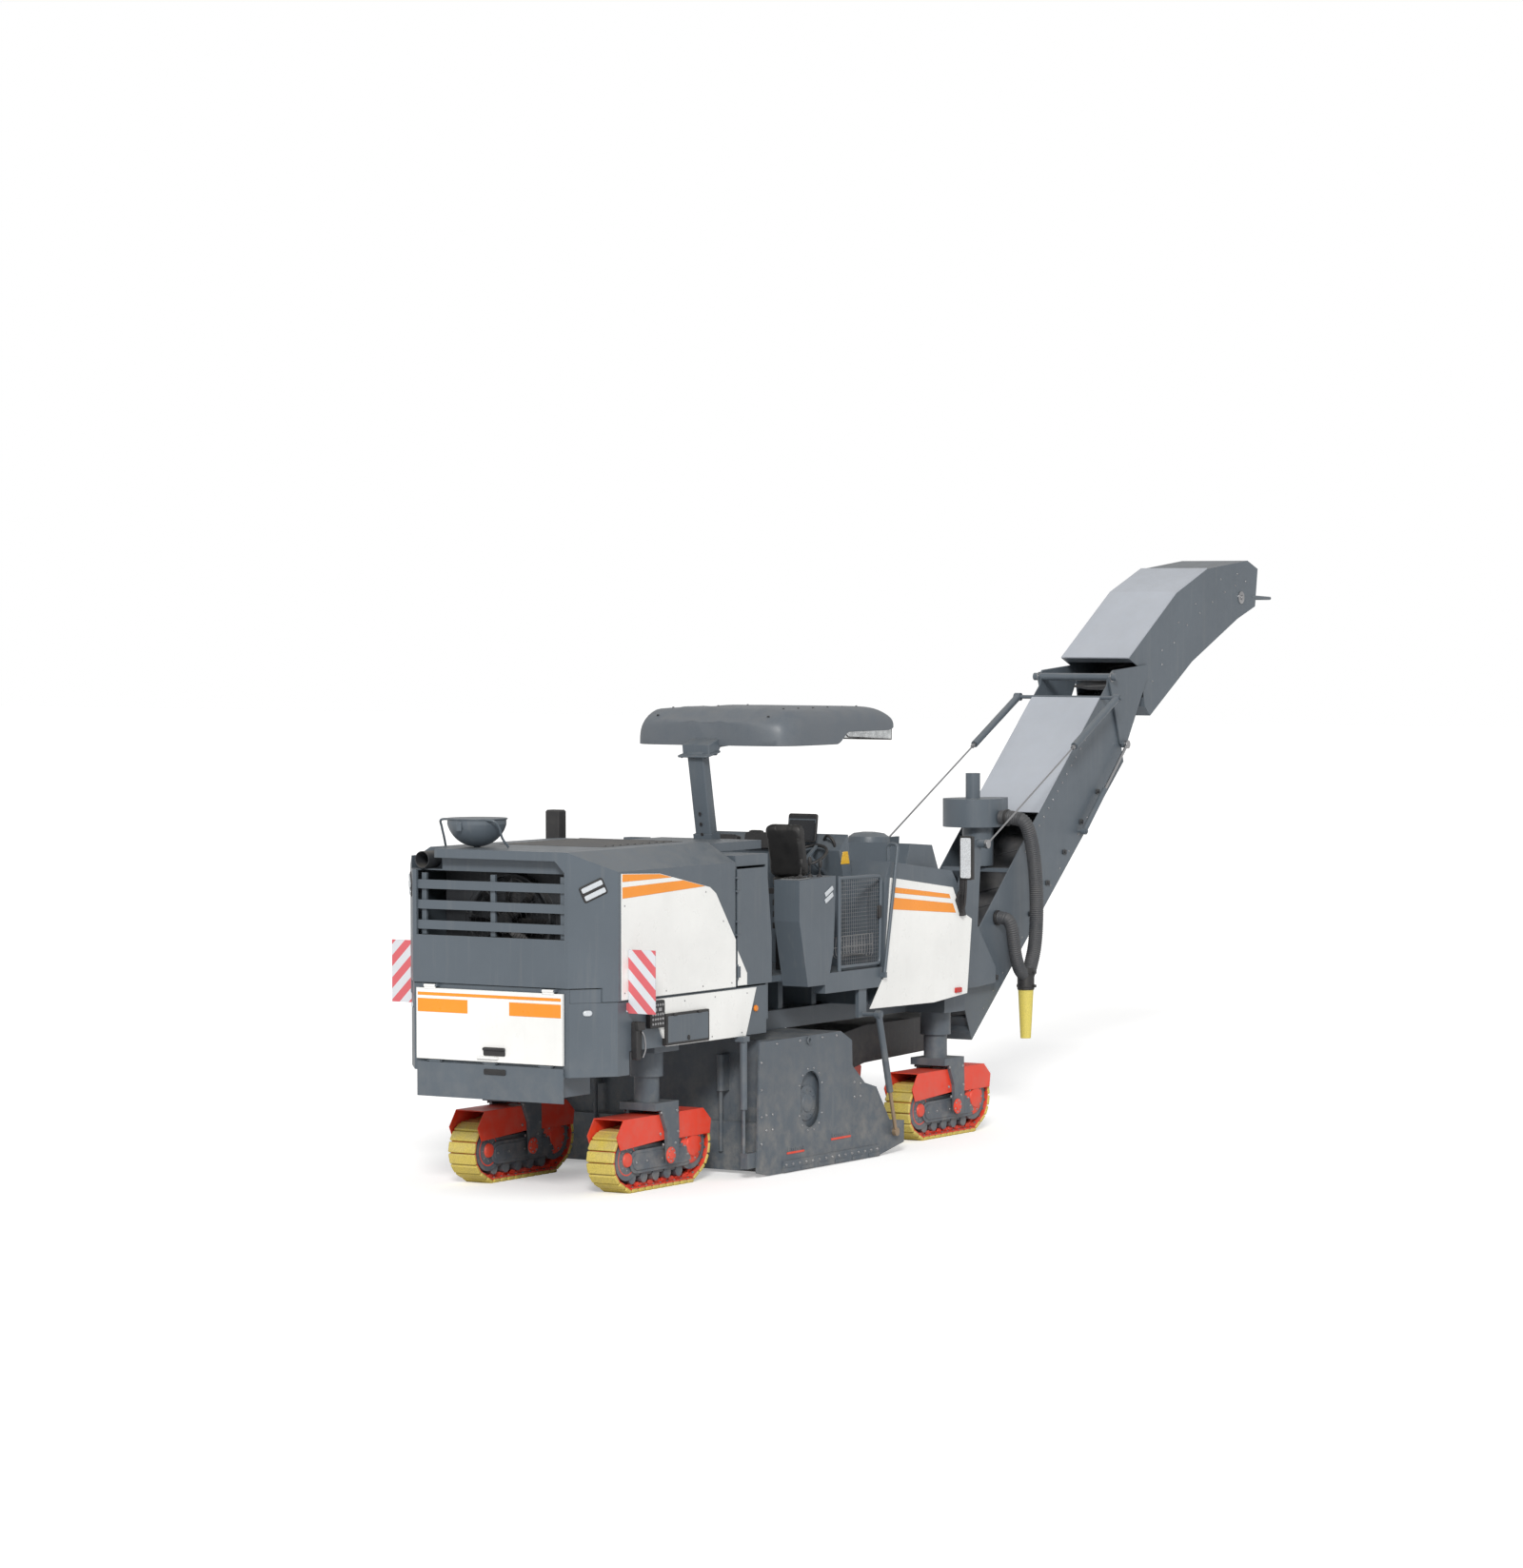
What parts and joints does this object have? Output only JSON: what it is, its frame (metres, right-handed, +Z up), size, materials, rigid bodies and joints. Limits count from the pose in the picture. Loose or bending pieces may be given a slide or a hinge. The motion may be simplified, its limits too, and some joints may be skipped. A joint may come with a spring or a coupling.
{
  "type": "cold planer milling machine",
  "caption": "Road milling machine on steered crawlers with a covered engine bay, open operator platform under a canopy, milling drum and folding discharge conveyor.",
  "frame": {"origin": "on the floor under the middle of the whole machine's bounding box", "axes": "+X is the travel direction towards the conveyor, +Y the machine's left, +Z up"},
  "size_m": [14.657, 2.864, 5.73],
  "materials": {
    "blue_paint": "semi-gloss",
    "white_paint": "semi-gloss",
    "red_paint": "semi-gloss",
    "dark_paint": "matte",
    "grey_steel": "satin",
    "rod_steel": "satin",
    "track_chain": "worn",
    "drum_steel": "worn",
    "black_plastic": "matte",
    "seat_cover": "soft",
    "hose_rubber": "matte",
    "yellow_plastic": "matte",
    "canopy_shell": "matte",
    "warning_film": "satin"
  },
  "bodies": {
    "machine_body": {"canopy_post": "blue_paint", "chassis_frame": "blue_paint", "drum_housing": "dark_paint", "engine_block": "dark_paint", "front_hood": "blue_paint", "mirrors": "black_plastic", "operator_consoles": "dark_paint", "operator_deck": "blue_paint", "primary_conveyor": "dark_paint", "radiator": "dark_paint", "rear_body": "blue_paint", "seat": "seat_cover", "seat_base": "black_plastic", "side_panels": "white_paint", "warning_panels": "warning_film"},
    "leg_rear_right_body": {"leg_rear_right": "blue_paint", "track_rear_right": "track_chain", "fender_rear_right": "red_paint"},
    "leg_rear_left_body": {"leg_rear_left": "blue_paint", "track_rear_left": "track_chain", "fender_rear_left": "red_paint"},
    "leg_front_right_body": {"leg_front_right": "blue_paint", "track_front_right": "track_chain", "fender_front_right": "red_paint"},
    "leg_front_left_body": {"leg_front_left": "blue_paint", "track_front_left": "track_chain", "fender_front_left": "red_paint"},
    "hood_body": {"engine_hood": "blue_paint", "hood_side_panels": "white_paint", "rear_louvres": "dark_paint", "exhaust_pipe": "dark_paint", "strobe_bowl": "black_plastic"},
    "fan_body": {"cooling_fan": "dark_paint"},
    "rear_door_body": {"rear_door": "blue_paint"},
    "rear_flap_body": {"rear_flap": "blue_paint"},
    "service_door_right_body": {"service_door_right": "blue_paint"},
    "gate_right_body": {"access_gate_right": "blue_paint"},
    "side_plate_right_body": {"side_plate_right": "blue_paint"},
    "edge_barrel_right_body": {"edge_barrel_right": "blue_paint"},
    "edge_rod_right_body": {"edge_rod_right": "rod_steel"},
    "service_door_left_body": {"service_door_left": "blue_paint"},
    "gate_left_body": {"access_gate_left": "blue_paint"},
    "side_plate_left_body": {"side_plate_left": "blue_paint"},
    "edge_barrel_left_body": {"edge_barrel_left": "blue_paint"},
    "edge_rod_left_body": {"edge_rod_left": "rod_steel"},
    "canopy_body": {"canopy_roof": "canopy_shell"},
    "drum_body": {"milling_drum": "drum_steel"},
    "scraper_body": {"scraper_blade": "dark_paint"},
    "slew_body": {"slew_frame": "blue_paint"},
    "conveyor_lower_body": {"conveyor_lower": "grey_steel", "lower_cover": "grey_steel", "suction_unit": "grey_steel", "suction_hoses": "hose_rubber", "dust_nozzle": "yellow_plastic"},
    "conveyor_upper_body": {"conveyor_upper": "dark_paint", "upper_cover": "grey_steel"},
    "lift_barrel_body": {"lift_barrels": "blue_paint"},
    "lift_rod_body": {"lift_rods": "rod_steel"},
    "fold_barrel_body": {"fold_barrels": "blue_paint"},
    "fold_rod_body": {"fold_rods": "rod_steel"}
  },
  "joints": [
    {"name": "steer_front_left", "type": "hinge", "parent": "machine_body", "child": "leg_front_left_body", "pos_m": [-0.8, 0.756, 1.24], "axis": [0, 0, 1], "range_deg": [-15, 15]},
    {"name": "steer_front_right", "type": "hinge", "parent": "machine_body", "child": "leg_front_right_body", "pos_m": [-0.8, -0.756, 1.24], "axis": [0, 0, 1], "range_deg": [-15, 15]},
    {"name": "steer_rear_left", "type": "hinge", "parent": "machine_body", "child": "leg_rear_left_body", "pos_m": [-5.94, 0.756, 1.24], "axis": [0, 0, 1], "range_deg": [-15, 15]},
    {"name": "steer_rear_right", "type": "hinge", "parent": "machine_body", "child": "leg_rear_right_body", "pos_m": [-5.94, -0.756, 1.24], "axis": [0, 0, 1], "range_deg": [-15, 15]},
    {"name": "fan_spin", "type": "hinge", "parent": "machine_body", "child": "fan_body", "pos_m": [-6.99, 0, 2.42], "axis": [1, 0, 0], "continuous": true},
    {"name": "drum_spin", "type": "hinge", "parent": "machine_body", "child": "drum_body", "pos_m": [-3.91, 0, 0.613], "axis": [0, 1, 0], "continuous": true},
    {"name": "engine_hood_lift", "type": "hinge", "parent": "machine_body", "child": "hood_body", "pos_m": [-5.018, 0, 3.052], "axis": [0, 1, 0], "range_deg": [0, 50]},
    {"name": "rear_door_lift", "type": "hinge", "parent": "machine_body", "child": "rear_door_body", "pos_m": [-7.32, 0, 1.86], "axis": [0, 1, 0], "range_deg": [0, 95]},
    {"name": "rear_flap_lift", "type": "hinge", "parent": "machine_body", "child": "rear_flap_body", "pos_m": [-7.304, 0, 1.191], "axis": [0, 1, 0], "range_deg": [0, 70]},
    {"name": "service_door_right_swing", "type": "hinge", "parent": "machine_body", "child": "service_door_right_body", "pos_m": [-5.01, -1.138, 2.3], "axis": [0, 0, 1], "range_deg": [-110, 0]},
    {"name": "gate_right_swing", "type": "hinge", "parent": "machine_body", "child": "gate_right_body", "pos_m": [-3.2, -1.11, 2.2], "axis": [0, 0, 1], "range_deg": [-100, 0]},
    {"name": "service_door_left_swing", "type": "hinge", "parent": "machine_body", "child": "service_door_left_body", "pos_m": [-5.01, 1.138, 2.3], "axis": [0, 0, 1], "range_deg": [0, 110]},
    {"name": "gate_left_swing", "type": "hinge", "parent": "machine_body", "child": "gate_left_body", "pos_m": [-3.2, 1.11, 2.2], "axis": [0, 0, 1], "range_deg": [0, 100]},
    {"name": "canopy_slide", "type": "slide", "parent": "machine_body", "child": "canopy_body", "axis": [-0.1908, 0, 0.9816], "range_m": [-0.6, 0]},
    {"name": "side_plate_right_lift", "type": "slide", "parent": "machine_body", "child": "side_plate_right_body", "axis": [0, 0, 1], "range_m": [0, 0.25]},
    {"name": "edge_barrel_right_pivot", "type": "hinge", "parent": "machine_body", "child": "edge_barrel_right_body", "pos_m": [-2.76, -1.281, 1.36], "axis": [0, 1, 0], "range_deg": [-4.5, 0.5]},
    {"name": "edge_rod_right_slide", "type": "slide", "parent": "edge_barrel_right_body", "child": "edge_rod_right_body", "axis": [0.2694, 0, -0.963], "range_m": [-0.25, 0.01]},
    {"name": "side_plate_left_lift", "type": "slide", "parent": "machine_body", "child": "side_plate_left_body", "axis": [0, 0, 1], "range_m": [0, 0.25]},
    {"name": "edge_barrel_left_pivot", "type": "hinge", "parent": "machine_body", "child": "edge_barrel_left_body", "pos_m": [-2.76, 1.281, 1.36], "axis": [0, 1, 0], "range_deg": [-4.5, 0.5]},
    {"name": "edge_rod_left_slide", "type": "slide", "parent": "edge_barrel_left_body", "child": "edge_rod_left_body", "axis": [0.2694, 0, -0.963], "range_m": [-0.25, 0.01]},
    {"name": "scraper_lift", "type": "slide", "parent": "machine_body", "child": "scraper_body", "axis": [0, 0, 1], "range_m": [0, 0.25]},
    {"name": "conveyor_slew", "type": "hinge", "parent": "machine_body", "child": "slew_body", "pos_m": [-0.15, 0, 1.45], "axis": [0, 0, 1], "range_deg": [-40, 40]},
    {"name": "conveyor_lift", "type": "hinge", "parent": "slew_body", "child": "conveyor_lower_body", "pos_m": [0.75, 0, 1.5], "axis": [0, 1, 0], "range_deg": [-6, 20]},
    {"name": "conveyor_fold", "type": "hinge", "parent": "conveyor_lower_body", "child": "conveyor_upper_body", "pos_m": [3.43, 0, 4.475], "axis": [0, 1, 0], "range_deg": [0, 38]},
    {"name": "lift_barrel_pivot", "type": "hinge", "parent": "conveyor_lower_body", "child": "lift_barrel_body", "pos_m": [3.25, 0, 4.26], "axis": [0, 1, 0], "range_deg": [-1, 2]},
    {"name": "lift_rod_slide", "type": "slide", "parent": "lift_barrel_body", "child": "lift_rod_body", "axis": [-0.8872, 0, -0.4614], "range_m": [-0.15, 0.5]},
    {"name": "fold_barrel_pivot", "type": "hinge", "parent": "conveyor_lower_body", "child": "fold_barrel_body", "pos_m": [2.75, 0, 2.87], "axis": [0, 1, 0], "range_deg": [-18.5, 0.5]},
    {"name": "fold_rod_slide", "type": "slide", "parent": "fold_barrel_body", "child": "fold_rod_body", "axis": [0.7309, 0, 0.6825], "range_m": [-0.36, 0.01]}
  ],
  "couplings": [
    {"joint": "steer_front_right", "follows": "steer_front_left", "ratio": 1},
    {"joint": "steer_rear_right", "follows": "steer_rear_left", "ratio": 1},
    {"joint": "edge_barrel_right_pivot", "follows": "side_plate_right_lift", "rad_per_m": -0.2834},
    {"joint": "edge_rod_right_slide", "follows": "side_plate_right_lift", "ratio": -0.9534},
    {"joint": "edge_barrel_left_pivot", "follows": "side_plate_left_lift", "rad_per_m": -0.2834},
    {"joint": "edge_rod_left_slide", "follows": "side_plate_left_lift", "ratio": -0.9534},
    {"joint": "lift_barrel_pivot", "follows": "conveyor_lift", "ratio": 0.07},
    {"joint": "lift_rod_slide", "follows": "conveyor_lift", "m_per_rad": 1.322},
    {"joint": "fold_barrel_pivot", "follows": "conveyor_fold", "ratio": -0.467},
    {"joint": "fold_rod_slide", "follows": "conveyor_fold", "m_per_rad": -0.527}
  ]
}
